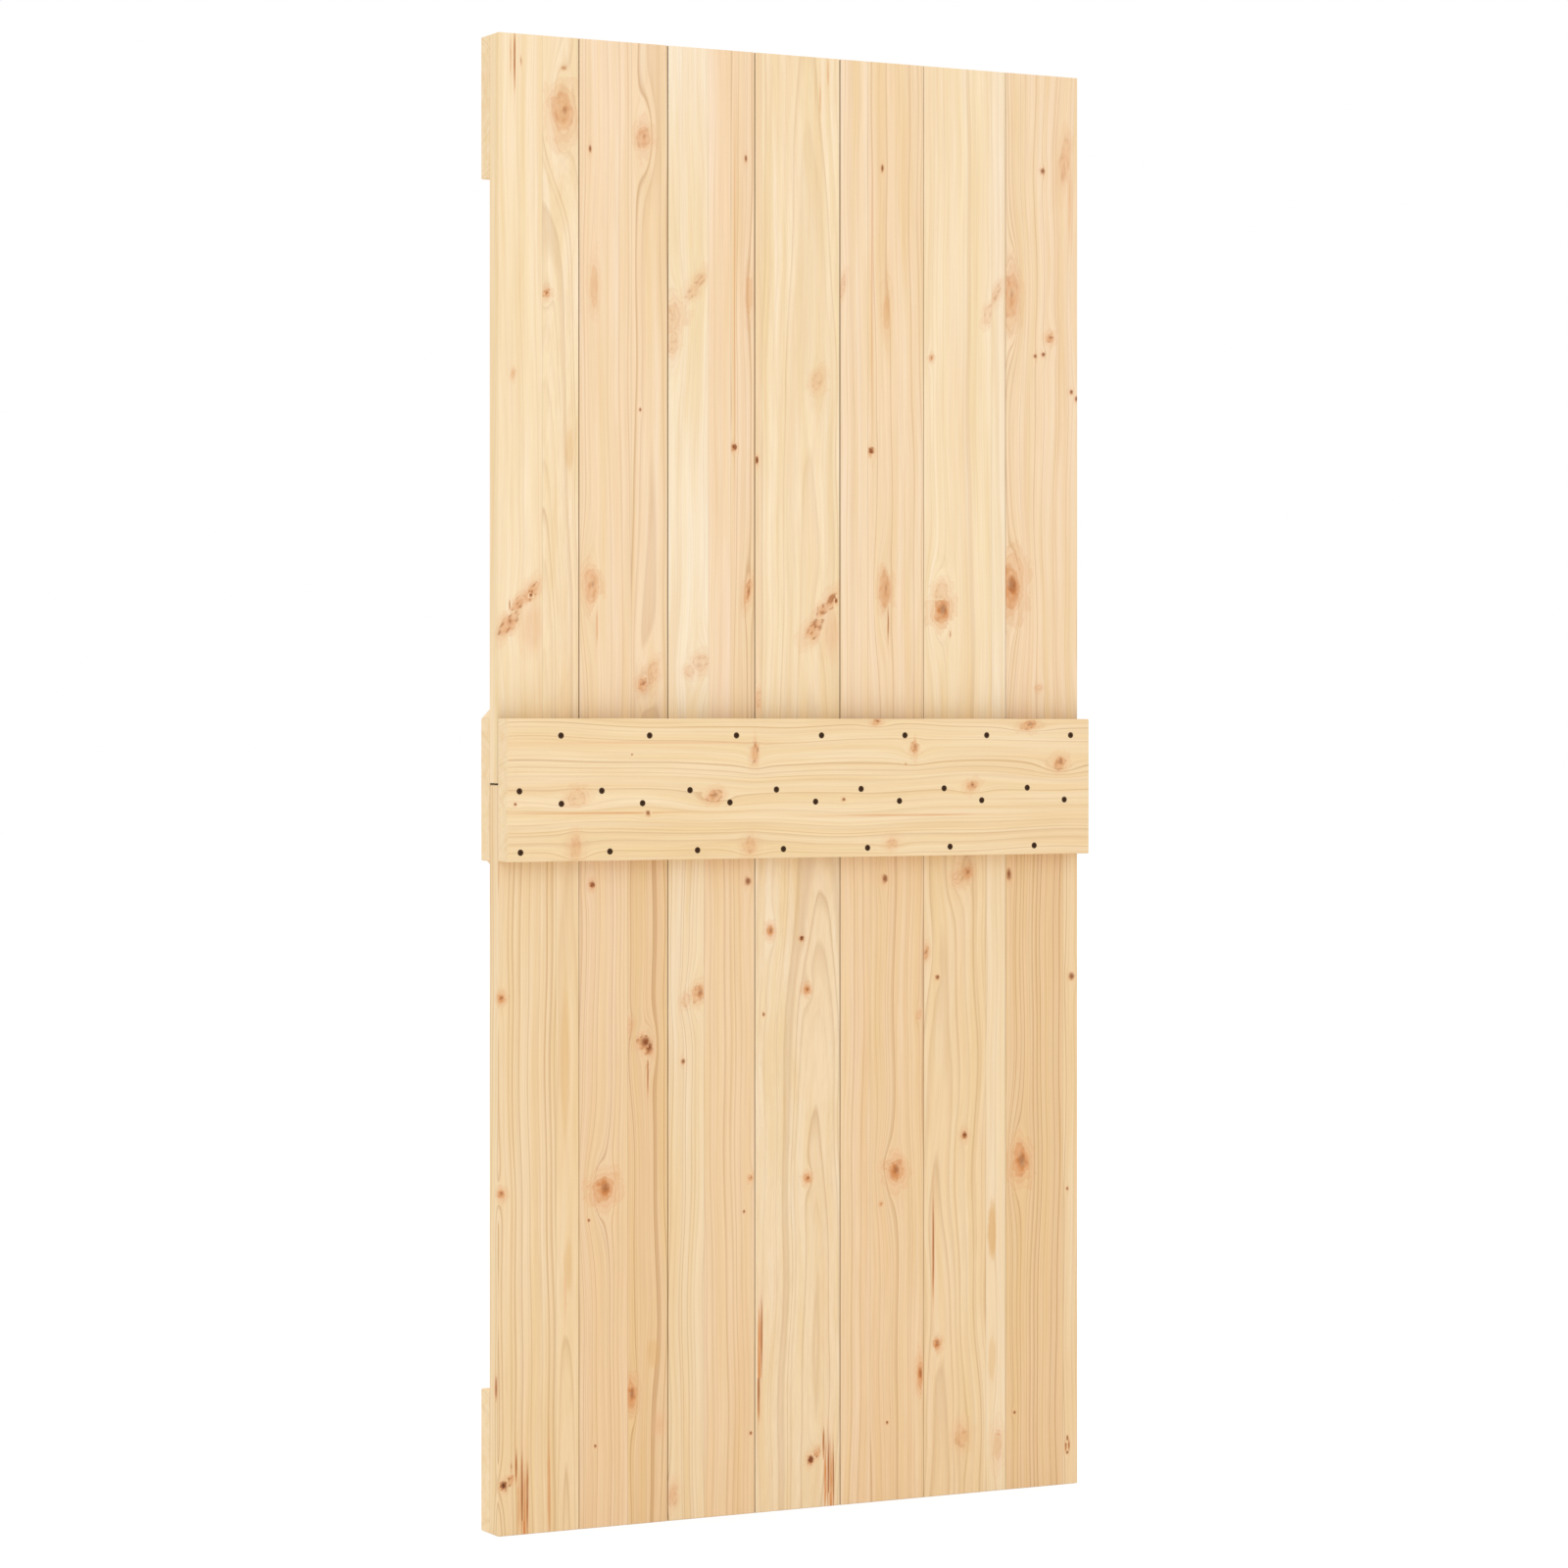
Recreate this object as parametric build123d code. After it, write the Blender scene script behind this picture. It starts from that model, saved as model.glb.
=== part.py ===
"""Sliding door panel of pine: tongued and grooved boards in an upper and a lower half.

Three rails and two braces lie on its front, and a ledge screwed on its back bridges the seam between the halves.
Lengths are millimetres. X runs along the width, +Y to the front and +Z up. The origin is the middle of the top
rail's front face, where the hangers bolt on. Heights below are counted from the door's bottom edge.
"""
import os
from math import asin, atan2, hypot, sin, tan

from build123d import *

# The whole door
door_width = 950.0
door_height = 2100.0

# Boards: whole ones in the middle, and the two outer ones ripped to what is left
board_cover = 140.0
least_outer_width = 60.0
board_thickness = 29.0
shoulder_gap = 0.4
seam_height = 1050.0
seam_gap = 1.2

# Edges of a board: V joint on the front, fine V joint on the back, tongue and groove between them
front_bevel = 2.5
back_bevel = 0.7
outer_edge_bevel = 0.7
tongue_thickness = 8.0
tongue_length = 7.0
tongue_tip_bevel = 1.2
tongue_play = 0.2
groove_spare_depth = 0.8

# Rails and braces on the front
rail_height = 200.0
rail_thickness = 29.0
brace_width = 140.0
upper_brace_inset = 0.0
lower_brace_inset = 8.0
arris_radius = 1.5

# Ledge on the back; the middle rail lies at the same height on the front
ledge_height = 200.0
ledge_thickness = 32.5
middle_below_seam = 8.0

# Screws that hold the ledge, one in each board in each of four rows
screw_shank_radius = 2.5
screw_head_radius = 4.7
screw_sink_angle = 90.0
low_row_margin = 13.0
low_centre_row_drop = 19.5
high_centre_row_drop = 1.6
top_row_margin = 24.0

# Each row's screws: from the door's left end, from the first whole board's left edge, how much nearer to
# that edge each next board has its screw, and from the door's right end
low_row_screws = (19.4, 32.7, 1.65, 95.0)
low_centre_row_screws = (82.3, 83.9, 1.0, 42.8)
high_centre_row_screws = (17.8, 20.0, 1.0, 107.0)
top_row_screws = (81.6, 95.0, 1.65, 31.8)

# Worked out from the sizes above
front_of_boards = -rail_thickness
back_of_boards = front_of_boards - board_thickness
back_of_ledge = back_of_boards - ledge_thickness
hanger_height = door_height - rail_height / 2
middle_height = seam_height - middle_below_seam
whole_board_count = max(1, int((door_width - 2 * least_outer_width) // board_cover))
outer_board_width = (door_width - whole_board_count * board_cover) / 2
board_widths = [outer_board_width] + [board_cover] * whole_board_count + [outer_board_width]
to_hanger_face = Pos(0, 0, -hanger_height)


def board_left_edges():
    """Left edge of each board, counted from the door's left end."""
    return [sum(board_widths[:index]) for index in range(len(board_widths))]


def board_section(width, has_groove, has_tongue):
    """Section of a board in plan, centred: groove in its left edge, tongue on its right edge."""
    left = -width / 2 + (shoulder_gap / 2 if has_groove else 0)
    right = width / 2 - (shoulder_gap / 2 if has_tongue else 0)
    section = Pos((left + right) / 2, 0) * Rectangle(right - left, board_thickness)
    for has_joint, side in ((has_groove, 0), (has_tongue, -1)):
        back, front = section.vertices().group_by(Axis.X)[side].sort_by(Axis.Y)
        section = chamfer(front, front_bevel if has_joint else outer_edge_bevel)
        back = section.vertices().group_by(Axis.X)[side].sort_by(Axis.Y)[0]
        section = chamfer(back, back_bevel if has_joint else outer_edge_bevel)
    if has_tongue:
        length = width / 2 + tongue_length - right
        tongue = Rectangle(length, tongue_thickness)
        tongue = chamfer(tongue.vertices().group_by(Axis.X)[-1], tongue_tip_bevel)
        section += Pos(right + length / 2, 0) * tongue
    if has_groove:
        depth = tongue_length + groove_spare_depth
        section -= Pos((-width + depth) / 2, 0) * Rectangle(depth, tongue_thickness + 2 * tongue_play)
    return section


def board(index, bottom, top):
    """One board between two heights."""
    width = board_widths[index]
    centre = board_left_edges()[index] + width / 2 - door_width / 2
    section = board_section(width, index > 0, index < len(board_widths) - 1)
    return Pos(centre, (front_of_boards + back_of_boards) / 2, bottom) * extrude(section, top - bottom)


def ease(shape, face):
    """Round the edges of the face that is seen and touched."""
    return fillet(face.edges(), arris_radius)


def front_rail(centre_height):
    """Level rail over the whole width of the front."""
    rail = Pos(0, front_of_boards / 2, centre_height) * Box(door_width, rail_thickness, rail_height)
    return ease(rail, rail.faces().sort_by(Axis.Y)[-1])


def brace_slope(height, width):
    """Angle at which a brace with level ends reaches from corner to corner of a rectangle."""
    return atan2(height, width) + asin(brace_width / hypot(width, height))


def front_brace(bottom, top, inset, leans_right):
    """Brace between two rails, whose ends stop at the inset from the door's two ends."""
    slope = brace_slope(top - bottom, door_width - 2 * inset)
    foot = brace_width / sin(slope)
    run = (top - bottom) / tan(slope)
    shift = run if leans_right else -run
    start = -door_width / 2 + inset if leans_right else door_width / 2 - inset - foot
    corners = [(start, bottom), (start + foot, bottom), (start + foot + shift, top), (start + shift, top)]
    outline = Plane.XZ * Polygon(*corners, align=None)
    brace = extrude(outline, rail_thickness, dir=(0, -1, 0))
    return ease(brace, brace.faces().sort_by(Axis.Y)[-1])


def screw_places():
    """Width and height of each screw of the ledge, counted from the door's left end and bottom edge."""
    rows = (
        (middle_height - ledge_height / 2 + low_row_margin, low_row_screws),
        (middle_height - low_centre_row_drop, low_centre_row_screws),
        (middle_height - high_centre_row_drop, high_centre_row_screws),
        (middle_height + ledge_height / 2 - top_row_margin, top_row_screws),
    )
    places = []
    for height, (from_left_end, on_whole_board, creep, from_right_end) in rows:
        places.append((from_left_end, height))
        for count, edge in enumerate(board_left_edges()[1:-1]):
            places.append((edge + on_whole_board - creep * count, height))
        places.append((door_width - from_right_end, height))
    return places


def back_ledge():
    """Ledge over the seam, with a countersunk hole for each screw."""
    centre = Pos(0, back_of_boards - ledge_thickness / 2, middle_height)
    ledge = centre * Box(door_width, ledge_thickness, ledge_height)
    ledge = ease(ledge, ledge.faces().sort_by(Axis.Y)[0])
    hole = CounterSinkHole(screw_shank_radius, screw_head_radius, ledge_thickness, screw_sink_angle)
    faces = [
        Plane((across - door_width / 2, back_of_ledge, height), z_dir=(0, -1, 0))
        for across, height in screw_places()
    ]
    return ledge - [plane * hole for plane in faces]


top_of_middle_rail = middle_height + rail_height / 2
bottom_of_middle_rail = middle_height - rail_height / 2
bottom_of_top_rail = door_height - rail_height

nodes = {
    "back_ledge": back_ledge(),
    "front_top_rail": front_rail(hanger_height),
    "front_middle_rail": front_rail(middle_height),
    "front_bottom_rail": front_rail(rail_height / 2),
    "upper_brace": front_brace(top_of_middle_rail, bottom_of_top_rail, upper_brace_inset, True),
    "lower_brace": front_brace(rail_height, bottom_of_middle_rail, lower_brace_inset, False),
}
for index in range(len(board_widths)):
    nodes[f"upper_board_{index + 1}"] = board(index, seam_height + seam_gap / 2, door_height)
    nodes[f"lower_board_{index + 1}"] = board(index, 0, seam_height - seam_gap / 2)

os.makedirs("parts", exist_ok=True)
for name, shape in nodes.items():
    export_step(to_hanger_face * shape, f"parts/{name}.step")
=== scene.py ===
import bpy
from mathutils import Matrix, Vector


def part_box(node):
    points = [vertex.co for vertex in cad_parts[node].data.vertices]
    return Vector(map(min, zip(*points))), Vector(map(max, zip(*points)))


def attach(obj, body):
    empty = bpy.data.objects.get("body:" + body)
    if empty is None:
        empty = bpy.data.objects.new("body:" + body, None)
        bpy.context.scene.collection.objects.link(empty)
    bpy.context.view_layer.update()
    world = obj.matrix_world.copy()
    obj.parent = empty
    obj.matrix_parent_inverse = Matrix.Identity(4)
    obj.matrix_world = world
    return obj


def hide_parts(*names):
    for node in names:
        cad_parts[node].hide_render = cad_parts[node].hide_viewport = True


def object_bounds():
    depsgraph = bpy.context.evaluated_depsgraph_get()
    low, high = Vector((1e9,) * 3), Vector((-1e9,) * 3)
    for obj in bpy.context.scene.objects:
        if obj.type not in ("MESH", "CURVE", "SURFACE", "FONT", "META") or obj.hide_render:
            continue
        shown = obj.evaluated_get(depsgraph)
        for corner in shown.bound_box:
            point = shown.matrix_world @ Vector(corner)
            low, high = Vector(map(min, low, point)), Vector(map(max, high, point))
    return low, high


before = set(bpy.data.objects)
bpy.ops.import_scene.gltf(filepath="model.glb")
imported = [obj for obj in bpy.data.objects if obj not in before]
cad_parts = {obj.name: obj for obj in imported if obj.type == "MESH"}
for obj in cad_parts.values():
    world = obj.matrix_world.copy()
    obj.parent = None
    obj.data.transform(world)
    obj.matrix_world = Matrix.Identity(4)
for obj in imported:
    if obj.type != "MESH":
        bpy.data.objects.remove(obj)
cad_box = [list(corner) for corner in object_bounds()]

# Plank sliding door of pine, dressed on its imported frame: boards in an upper and a lower half, three rails
# and two braces on the front, and a screwed ledge on the back. Metres, +Y to the front, +Z up.
import math

import bpy
import numpy as np
from bpy.props import FloatProperty, FloatVectorProperty, PointerProperty

bl_info = {
    "name": "Plank sliding door",
    "version": (1, 0, 0),
    "blender": (4, 5, 0),
    "location": "3D View > Sidebar > Door",
    "description": "Pine boards, rails, braces, screwed ledge and stage of a plank sliding door",
    "category": "Mesh",
}

MM = 0.001
HALVES = ("upper", "lower")
RAILS = ("front_top_rail", "front_middle_rail", "front_bottom_rail")
BOARD_COUNT = sum(name.startswith("upper_board_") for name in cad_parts)
FULL_TONE = (1.0, 1.0, 1.0)

# Board section: play round a tongue, the bevel of its tip, and how much deeper than the tongue its groove is
TONGUE_PLAY = 0.2 * MM
TONGUE_TIP = 1.2 * MM
GROOVE_SPARE = 0.6 * MM
# Grid on a board's faces: from the groove's side, from the tongue's side, and half the strip at a glue line
GRID_FROM_GROOVE = 9 * MM
GRID_FROM_TONGUE = 4 * MM
GLUE_STRIP = 0.9 * MM
# Mesh cells of rails, braces and ledge in their thickness
CELL_DEEP = 0.006

# Shades on the boards: how near a point lies to count as on a line or in a joint, and the height over which
# the painted shade in the corner above the ledge thins out
ON_LINE = 0.1 * MM
IN_JOINT = 0.3 * MM
LEDGE_SHADE_HEIGHT = 22 * MM
# What the seam's edge and the eased ends keep of the joints' darkened tone, all painted shade down in the
# seam, and what a glue line keeps of the wood's
SEAM_SHARE = 0.25
EASED_SHARE = 0.6
GLUE_TONE = 0.82

# Knots: how far they move across per depth, and the heart share, the reach and the lead in millimetres with
# which a dark-hearted knot lies over a larger one
KNOT_SLANT = 0.8
DARK_HEART = 0.8
DARK_REACH = 1.4
DARK_LEAD = 8
# Edge distance that leaves a knot in another stave behind all of the face's own
OTHER_STAVE = 1e8

# Photo's view, lamps and floor, in metres from the door's origin; the camera's heading is along X and Y
CAMERA_PLACE = (-3.099, -5.795, -0.8719)
CAMERA_HEADING = (0.4726, 0.8813)
CAMERA_SHIFT = -0.0355
SENSOR_MM = 36
LAMP_PLACES = {"key": (-2.2, -4.2, 1.6), "fill": (1.8, 4.4, 1.4)}
LAMP_AIM = (0.0, 0.0, -0.6)
LAMP_WIDTH = 3.2
FLOOR_HALF_WIDTH = 40
FLOOR_GAP = 0.0005


def linear(code):
    """Linear colour of an sRGB hex code.

    A share of up to 0.04045 is divided by 12.92, and a higher one goes through the 2.4 power."""
    shares = np.array([int(code[place:place + 2], 16) / 255 for place in (1, 3, 5)])
    return tuple(np.where(shares <= 0.04045, shares / 12.92, ((shares + 0.055) / 1.055) ** 2.4))


# How a knot looks: share of its body's colour, of its halo, of its rim and rings, and of its heart, where
# more than 1.35 paints the shade of an open hollow; the heart's size in the knot's own, share of the dark
# marks in it, how far the grain flows round it, how much the year rings swell over it in its half widths, how
# far it leans across for its length along, and share of the flame's yellow
KNOT_KINDS = {
    "pin": (0.50, 0.32, 0.0, 0.86, 0.80, 0.0, 0.8, 0.4, 0.0, 0.0),
    "sound": (0.64, 0.56, 0.50, 0.50, 0.42, 0.22, 1.0, 0.8, 0.15, 0.0),
    "eye": (0.50, 0.60, 0.55, 0.35, 0.24, 0.10, 1.0, 1.1, 0.0, 0.0),
    "red": (0.90, 0.70, 0.80, 0.55, 0.50, 0.10, 1.0, 0.8, 0.0, 0.0),
    "dead": (0.90, 0.65, 0.30, 0.90, 0.80, 0.45, 1.0, 0.6, 0.0, 0.0),
    "hole": (0.85, 0.60, 0.20, 1.50, 0.74, 0.45, 1.0, 0.6, 0.0, 0.0),
    "faint": (0.20, 0.36, 0.50, 0.00, 0.30, 0.10, 0.8, 0.6, 0.2, 0.0),
    "smear": (0.36, 0.52, 0.10, 0.00, 0.30, 0.10, 0.5, 0.3, 0.1, 0.0),
    "branch": (0.60, 0.72, 0.25, 0.08, 0.40, 0.45, 0.35, 0.3, 0.5, 0.0),
    "spike": (0.20, 0.20, 0.40, 0.00, 0.30, 0.0, 0.6, 0.6, 0.0, 0.30),
    "streak": (1.00, 0.40, 0.0, 0.57, 0.95, 0.0, 0.0, 0.0, 0.0, 0.0),
    "twig": (0.28, 0.42, 0.25, 0.00, 0.30, 0.18, 0.35, 0.3, 0.5, 0.0),
    "mark": (0.46, 0.26, 0.0, 0.42, 0.60, 0.13, 0.0, 0.0, 0.0, 0.0),
    "flame": (0.0, 0.15, 0.0, 0.0, 0.3, 0.0, 0.6, 0.3, 0.0, 0.75),
    "haze": (0.0, 0.10, 0.0, 0.0, 0.3, 0.0, 0.3, 0.3, 0.0, 0.35),
    "glow": (0.12, 0.60, 0.0, 0.00, 0.30, 0.0, 0.0, 0.0, 0.0, 0.0),
    "pitch": (1.00, 0.30, 0.0, 0.00, 0.30, 0.0, 0.0, 0.0, 0.0, 0.0),
    "resin": (0.54, 0.18, 0.0, 0.00, 0.30, 0.0, 0.0, 0.0, 0.0, 0.0),
}

# Staves glued side by side in each board, from its left edge: where the stave ends, its tone, its pith's
# place across the board and behind the back face, how far the pith leans in a metre, ring spacing, ring
# strength and how far the grain waves to the sides. Millimetres. A stave ends over 10 mm from the board's left
# edge and over 5 mm from its right one, or its glue line would leave the grid on the board's faces.
STAVES = {
    "upper_board_1": [(68, "straw", -60, 30, 10, 5.0, 0.30, 3), (125, "straw", 72, 24, 55, 5.5, 1.05, 4)],
    "upper_board_2": [(82, "peach", -70, 20, 6, 6.5, 0.72, 3), (140, "tan", 112, 34, 14, 5.5, 1.15, 4)],
    "upper_board_3": [(65, "cream", 120, 60, 12, 6.0, 0.45, 4), (101, "peach", 200, 30, 4, 7.0, 0.45, 3),
                      (140, "tan", 40, 30, 8, 5.5, 1.20, 3)],
    "upper_board_4": [(11, "tan", 60, 20, 6, 4.0, 0.80, 2), (140, "straw", 88, 48, 20, 8.0, 0.75, 5)],
    "upper_board_5": [(46, "peach", 140, 20, 6, 7.0, 0.65, 3), (140, "tan", -20, 30, 10, 7.0, 1.00, 4)],
    "upper_board_6": [(116, "straw", -30, 30, 8, 6.5, 0.42, 4), (140, "cream", 40, 20, 6, 6.0, 0.40, 3)],
    "upper_board_7": [(125, "tan", 210, 40, 18, 5.0, 0.94, 7)],
    "lower_board_1": [(89, "straw", -40, 25, 8, 7.0, 1.2, 4), (125, "straw", 104, 14, 18, 6.0, 0.8, 3)],
    "lower_board_2": [(76, "peach", -60, 24, 8, 6.0, 1.30, 4), (140, "amber", 170, 30, 10, 5.5, 1.5, 7)],
    "lower_board_3": [(58, "cream", -40, 30, 12, 6.0, 1.30, 6), (140, "peach", 230, 20, 8, 8.0, 1.10, 4)],
    "lower_board_4": [(140, "cream", 100, 22, 60, 8.5, 1.08, 8)],
    "lower_board_5": [(50, "peach", 180, 24, 8, 7.0, 0.85, 4), (140, "tan", -30, 26, 8, 6.0, 1.2, 5)],
    "lower_board_6": [(106, "straw", 30, 30, 34, 8.5, 1.06, 12), (140, "cream", -20, 20, 8, 5.0, 0.80, 4)],
    "lower_board_7": [(100, "amber", -80, 22, 8, 5.5, 2.0, 4), (125, "straw", 200, 22, 8, 5.0, 1.5, 4)],
    "back_ledge": [(200, "ledge", -40, 38, 14, 6.5, 1.05, 7)],
    "front_top_rail": [(200, "ledge", 130, 34, 24, 7.0, 1.20, 6)],
    "front_middle_rail": [(200, "ledge", 60, 46, -26, 7.5, 1.20, 6)],
    "front_bottom_rail": [(200, "ledge", 90, 28, 28, 7.0, 1.20, 6)],
    "upper_brace": [(140, "straw", 62, 38, 22, 6.5, 1.10, 6)],
    "lower_brace": [(140, "tan", 90, 34, -24, 6.5, 1.10, 6)],
}

# Knots and resin streaks: kind, place across from the left or lower edge, height above the door's bottom
# edge or distance from its left end, half width and half length. Millimetres.
KNOTS = {
    "upper_board_1": [
        ("eye", 100, 1994, 17, 27), ("mark", 101, 2056, 6, 4), ("streak", 25, 2060, 1.5, 44),
        ("resin", 19, 2070, 1.5, 30), ("mark", 35, 2062, 1.5, 8), ("sound", 74, 1739, 5.8, 6.4),
        ("smear", 23, 1624, 3.5, 7), ("branch", 50, 1318, 10, 15), ("dead", 50, 1315, 3, 4),
        ("branch", 31, 1302, 9, 13), ("branch", 16, 1274, 12, 17), ("glow", 50, 1272, 12, 26),
        ("streak", 17.5, 1300, 1, 8), ("haze", 109, 1521, 6.9, 34)],
    "upper_board_2": [
        ("pin", 17, 1945, 2.9, 6.7), ("eye", 101, 1967, 10, 16), ("spike", 24, 1752, 5.8, 26),
        ("pin", 96, 1580, 2.6, 3.2), ("eye", 20, 1329, 10.8, 23), ("resin", 28, 1271, 1.8, 26),
        ("sound", 100, 1191, 8, 9), ("faint", 116, 1206, 8.1, 16.2)],
    "upper_board_3": [
        ("pin", 125, 1946, 2.9, 6.7), ("twig", 51, 1768, 9, 13), ("twig", 39, 1752, 9, 11),
        ("faint", 3, 1712, 17, 22), ("faint", 8, 1676, 8, 16), ("dead", 106, 1531, 5.2, 6),
        ("resin", 107, 1720, 1.1, 300), ("faint", 52, 1221, 12.2, 12.2), ("faint", 36, 1210, 8.1, 8.1),
        ("sound", 129, 1324, 5.4, 18.9), ("spike", 130, 1750, 5.8, 26)],
    "upper_board_4": [
        ("resin", 107, 2041, 1.4, 24), ("resin", 120, 2078, 1.5, 20), ("faint", 103, 1631, 9.5, 12.2),
        ("hole", 3, 1513, 2.8, 7), ("faint", 9, 1171, 8.1, 12.2), ("branch", 126, 1314, 10, 15),
        ("dead", 133, 1313, 3, 5), ("branch", 111, 1299, 9, 12), ("branch", 97, 1273, 12, 17),
        ("glow", 126, 1268, 11, 26)],
    "upper_board_5": [
        ("pin", 70, 1945, 3.2, 7.3), ("spike", 77, 1738, 5.8, 28), ("faint", 4, 1770, 4.1, 16.2),
        ("dead", 51, 1532, 5.4, 6.2), ("resin", 53, 1770, 1.1, 235), ("eye", 75, 1330, 9.5, 23),
        ("streak", 80, 1278, 1.2, 26)],
    "upper_board_6": [
        ("sound", 13, 1672, 3.8, 4.4), ("twig", 122, 1768, 7, 16), ("red", 31, 1301, 13.8, 18),
        ("faint", 30, 1330, 10.8, 10.8), ("mark", 45, 1266, 2, 6), ("faint", 110, 1740, 6.8, 13.5)],
    "upper_board_7": [
        ("eye", 9, 1768, 12.2, 32.4), ("pin", 64, 1957, 5, 5.4), ("smear", 103, 1972, 9, 36),
        ("sound", 77, 1709, 6.8, 6.8), ("pin", 65, 1684, 4.4, 4.6), ("pin", 51, 1681, 3.6, 3.8),
        ("pin", 114, 1630, 4.2, 5), ("dead", 123, 1620, 2.6, 4.4), ("red", 9, 1337, 16.8, 30),
        ("faint", 58, 1188, 5.4, 4.1), ("glow", 112, 1915, 3, 44)],
    "lower_board_1": [
        ("red", 4, 751, 6, 6.4), ("red", 4, 478, 6, 6.4), ("haze", 103, 660, 8, 130),
        ("resin", 78, 60, 2.6, 90), ("haze", 108, 372, 6.5, 42), ("glow", 104, 345, 2, 34),
        ("hole", 7.5, 70, 6, 7.6), ("branch", 17, 77, 7, 9), ("mark", 20, 96, 1.6, 7),
        ("resin", 31.5, 42, 2.6, 48), ("streak", -6, 205, 3.6, 18), ("streak", 27.5, 95, 1.9, 25),
        ("streak", 36.3, 52, 2.2, 60), ("pitch", 40.5, 30, 2.8, 64), ("streak", 44.6, 42, 1.9, 56)],
    "lower_board_2": [
        ("dead", 20, 907, 5, 6), ("dead", 103, 682, 10.1, 10.1), ("dead", 109, 674, 6.8, 10.1),
        ("streak", 108, 636, 1.2, 38), ("faint", 79, 706, 5.4, 9.5), ("red", 39, 477, 15.6, 18),
        ("pin", 15, 434, 2.6, 3), ("red", 82, 183, 8, 19), ("haze", 118, 240, 11, 24),
        ("glow", 126, 138, 7, 12), ("pin", 25, 115, 2.8, 3)],
    "lower_board_3": [
        ("pin", 128, 908, 6.1, 7.7), ("sound", 50, 750, 10.8, 12.2), ("faint", 29, 740, 6.8, 8.1),
        ("pin", 24, 653, 4.2, 4.6), ("sound", 133, 482, 3.8, 4.6), ("pin", 122, 434, 2.9, 3),
        ("pin", 133, 115, 3, 3.4), ("smear", 7, 36, 8, 16)],
    "lower_board_4": [
        ("red", 25, 836, 6, 8.5), ("pin", 14, 716, 2.6, 3.8), ("hole", 76, 824, 4, 4.6),
        ("red", 85, 750, 6, 6.4), ("red", 86, 477, 6, 6.4), ("pitch", 7, 215, 3, 98),
        ("streak", 10.5, 250, 2.2, 60), ("streak", 6, 176, 2.4, 48), ("hole", 90.5, 69, 6, 7.6),
        ("branch", 99, 76, 7, 9), ("pitch", 115.5, 42, 2.4, 50), ("streak", 112.3, 92, 1.9, 24),
        ("pitch", 124.6, 30, 2.8, 64), ("streak", 120.6, 50, 2.2, 60), ("streak", 128.6, 42, 1.5, 56)],
    "lower_board_5": [
        ("pin", 74, 908, 6.1, 7.7), ("faint", 132, 708, 4.1, 6.8), ("red", 92, 481, 12, 16.8),
        ("faint", 79, 490, 8.1, 6.8), ("sound", 68, 434, 2.9, 3.1), ("red", 134, 181, 5.5, 18),
        ("pin", 78, 114, 2.9, 3.2)],
    "lower_board_6": [
        ("sound", 74, 915, 8.1, 9.5), ("faint", 60, 909, 10.8, 10.8), ("sound", 4, 799, 4.4, 10),
        ("pin", 23, 762, 4.6, 5), ("dead", 69, 528, 5.6, 6.6), ("flame", 116.5, 382, 7.8, 43),
        ("streak", 16, 360, 1.9, 84), ("red", 22, 223, 6.4, 8.5), ("haze", 116, 196, 6.9, 34),
        ("smear", 64, 84, 12, 16), ("spike", 126, 68, 7.5, 24), ("resin", 127, 84, 5, 6)],
    "lower_board_7": [
        ("pin", 5, 911, 5.8, 11.5), ("pin", 114, 757, 6.5, 7), ("red", 26, 485, 13.2, 22.8),
        ("pin", 15, 113, 3, 3.4), ("streak", 104.8, 58, 2.1, 10), ("streak", 110, 58, 2, 10),
        ("pin", 107.3, 68, 2.6, 6), ("pin", 107, 47, 3, 4), ("pin", 107, 441, 2.5, 3.4)],
    "back_ledge": [
        ("pin", 80, 11, 3, 3), ("smear", 20, 104, 18, 9), ("faint", 88, 105, 10, 14),
        ("pin", 149, 192, 1.8, 1.8), ("pin", 66, 217, 4.6, 4.3), ("smear", 18, 380, 13, 10),
        ("branch", 153, 388, 15, 5.5), ("sound", 90, 322, 9, 13), ("sound", 196, 588, 5, 7),
        ("sound", 158, 651, 10, 6.2), ("mark", 134, 636, 2, 2), ("pin", 83, 533, 3.6, 3.6),
        ("sound", 102, 748, 7, 9), ("smear", 20, 613, 8, 10), ("sound", 191, 846, 7, 13),
        ("sound", 135, 899, 10, 11), ("resin", 67, 152, 1.8, 150), ("glow", 166, 238, 1.2, 140),
        ("resin", 60, 640, 1.7, 150)],
}

# Back bevel and gap of each board joint from the left, between the door's own plain edges
BACK_BEVELS_MM = {
    "upper": (0.7, 0.8, 0.8, 0.85, 1.2, 0.45, 0.35, 0.7),
    "lower": (0.7, 0.5, 0.6, 0.65, 0.85, 0.4, 0.30, 0.7),
}
GAPS_MM = {
    "upper": (0.0, 0.74, 1.04, 0.91, 0.87, 0.46, 0.37, 0.0),
    "lower": (0.0, 0.34, 0.80, 0.73, 0.64, 0.33, 0.30, 0.0),
}

# Rows of the ledge's screws: height from the ledge's middle, then the places of the first screw from the
# left end, of the others from their board's left edge and how much that shrinks per board, and of the last
# from the right end
SCREW_ROWS_MM = (
    (-87.0, 19.4, 32.7, 1.65, 95.0),
    (-19.5, 82.3, 83.9, 1.00, 42.8),
    (-1.6, 17.8, 20.0, 1.00, 107.0),
    (76.0, 81.6, 95.0, 1.65, 31.8),
)


def length_setting(name, description, default, least):
    """A length in metres that a user would change."""
    return FloatProperty(name=name, description=description, default=default, min=least, unit="LENGTH")


def colour_setting(name, description, code):
    """A colour, given by its sRGB hex code."""
    return FloatVectorProperty(name=name, description=description, default=linear(code), subtype="COLOR")


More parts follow.
